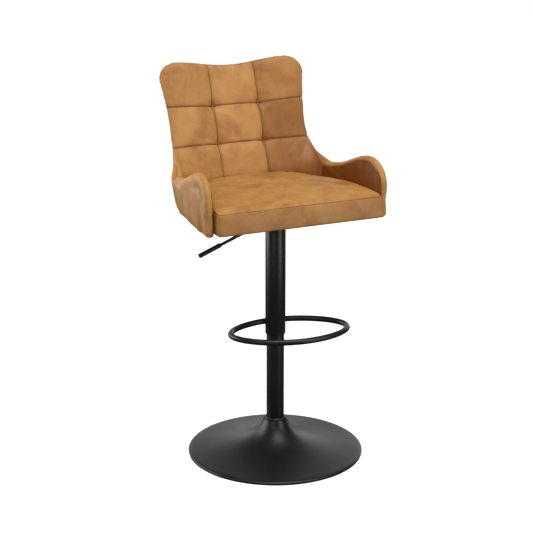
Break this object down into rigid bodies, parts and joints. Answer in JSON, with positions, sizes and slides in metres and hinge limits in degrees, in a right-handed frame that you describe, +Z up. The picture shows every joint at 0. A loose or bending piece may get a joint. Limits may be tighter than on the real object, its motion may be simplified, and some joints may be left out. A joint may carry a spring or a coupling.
{
  "type": "bar stool with footrest",
  "caption": "Height-adjustable swivel bar stool: trumpet base, telescopic column with gas lift, oval footrest, upholstered bucket seat with tufted back and low arms.",
  "frame": {"origin": "on the column's axis, at the floor, in the underside of the base", "axes": "+Z up along the column, the sitter faces -Y, +X to the right when looking along +Y from the front"},
  "size_m": [0.49, 0.508, 0.9839],
  "materials": {
    "black_powder_coat": "satin black powder coat",
    "zinc_steel": "zinc plated",
    "chrome_rod": "hard chrome",
    "cast_iron": "raw casting",
    "black_plastic": "moulded, fine texture",
    "rubber": "matt",
    "leather": "waxed, mottled tan",
    "plywood": "sanded birch plywood",
    "dust_cloth": "black non-woven"
  },
  "bodies": {
    "base": {"ballast_plate": "cast_iron", "base_shell": "black_powder_coat", "bearing_lower_race": "zinc_steel", "column_collar": "black_plastic", "column_flange": "black_powder_coat", "flange_bolt_1": "zinc_steel", "flange_bolt_2": "zinc_steel", "flange_bolt_3": "zinc_steel", "floor_pad": "rubber", "foot_plate": "zinc_steel", "guide_bush": "black_plastic", "lower_column": "black_powder_coat", "rim_ring": "rubber"},
    "rod": {"bearing_ball_cage": "black_plastic", "bearing_upper_race": "zinc_steel", "piston_rod": "chrome_rod", "retaining_clip": "zinc_steel", "rod_washer": "zinc_steel", "stop_bumper": "rubber"},
    "seat": {"arm_board_left": "plywood", "arm_board_right": "plywood", "arm_pad_left": "leather", "arm_pad_right": "leather", "arm_strap_left": "black_powder_coat", "arm_strap_right": "black_powder_coat", "back_board": "plywood", "back_bracket_left": "black_powder_coat", "back_bracket_right": "black_powder_coat", "back_cover": "leather", "back_cushion": "leather", "bracket_screw_left_back": "zinc_steel", "bracket_screw_left_seat": "zinc_steel", "bracket_screw_right_back": "zinc_steel", "bracket_screw_right_seat": "zinc_steel", "dust_cover": "dust_cloth", "footrest_ring": "black_powder_coat", "gas_cylinder": "black_powder_coat", "lift_housing": "black_powder_coat", "outer_sleeve": "black_powder_coat", "seat_board": "plywood", "seat_bolt_1": "zinc_steel", "seat_bolt_2": "zinc_steel", "seat_bolt_3": "zinc_steel", "seat_bolt_4": "zinc_steel", "seat_cushion": "leather", "seat_plate": "black_powder_coat", "sleeve_bush": "black_plastic", "strap_screw_left_inner": "zinc_steel", "strap_screw_left_outer": "zinc_steel", "strap_screw_right_inner": "zinc_steel", "strap_screw_right_outer": "zinc_steel"},
    "lever": {"lever_arm": "black_powder_coat", "lever_grip": "black_plastic", "lever_pin": "zinc_steel"},
    "button": {"release_button": "chrome_rod"}
  },
  "joints": [
    {"name": "swivel", "type": "hinge", "parent": "base", "child": "rod", "pos_m": [0, 0, 0.04], "axis": [0, 0, 1], "continuous": true},
    {"name": "lift", "type": "slide", "parent": "rod", "child": "seat", "axis": [0, 0, 1], "range_m": [-0.085, 0.125]},
    {"name": "lever", "type": "hinge", "parent": "seat", "child": "lever", "pos_m": [-0.024, 0, 0.6135], "axis": [0, 1, 0], "range_deg": [0, 7], "stiffness_Nm_per_rad": 2},
    {"name": "release", "type": "slide", "parent": "seat", "child": "button", "axis": [0, 0, -1], "range_m": [0, 0.0037]}
  ],
  "couplings": [
    {"joint": "release", "follows": "lever", "m_per_rad": 0.029}
  ]
}
